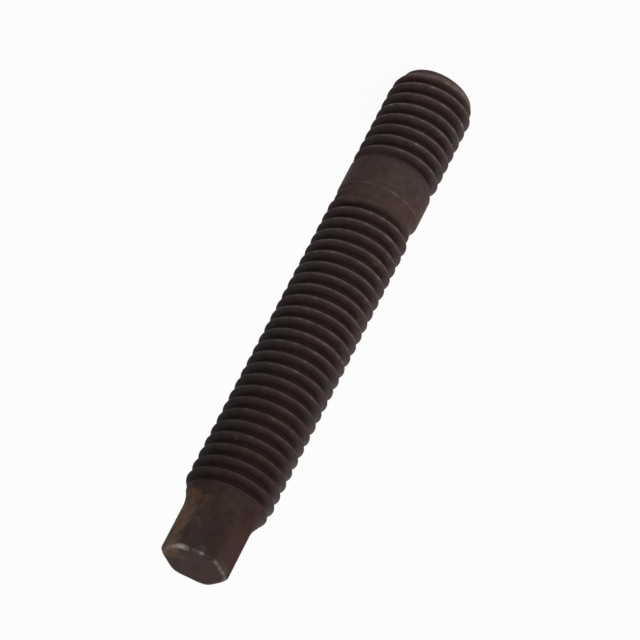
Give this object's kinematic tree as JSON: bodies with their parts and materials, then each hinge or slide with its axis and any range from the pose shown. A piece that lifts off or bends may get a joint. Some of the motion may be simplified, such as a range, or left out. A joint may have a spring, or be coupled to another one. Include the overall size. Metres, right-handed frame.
{
  "type": "exhaust stud",
  "caption": "Double-ended threaded steel stud with a plain collar between its threads and a hexagon dog for driving it, used to bolt an exhaust manifold to a cylinder head.",
  "frame": {"origin": "centre of the flat end face of the tap end, which the stud stands on", "axes": "+Z along the stud's axis, from the tap end up to the driving hexagon; +X through a corner of the hexagon"},
  "size_m": [0.0078, 0.0078, 0.053],
  "materials": {
    "phosphated_steel": "dark brown-black phosphated steel with a light bloom of rust, dull on the threads and worn bright at the hexagon's edge"
  },
  "bodies": {
    "root": {"stud": "phosphated_steel"}
  },
  "joints": []
}
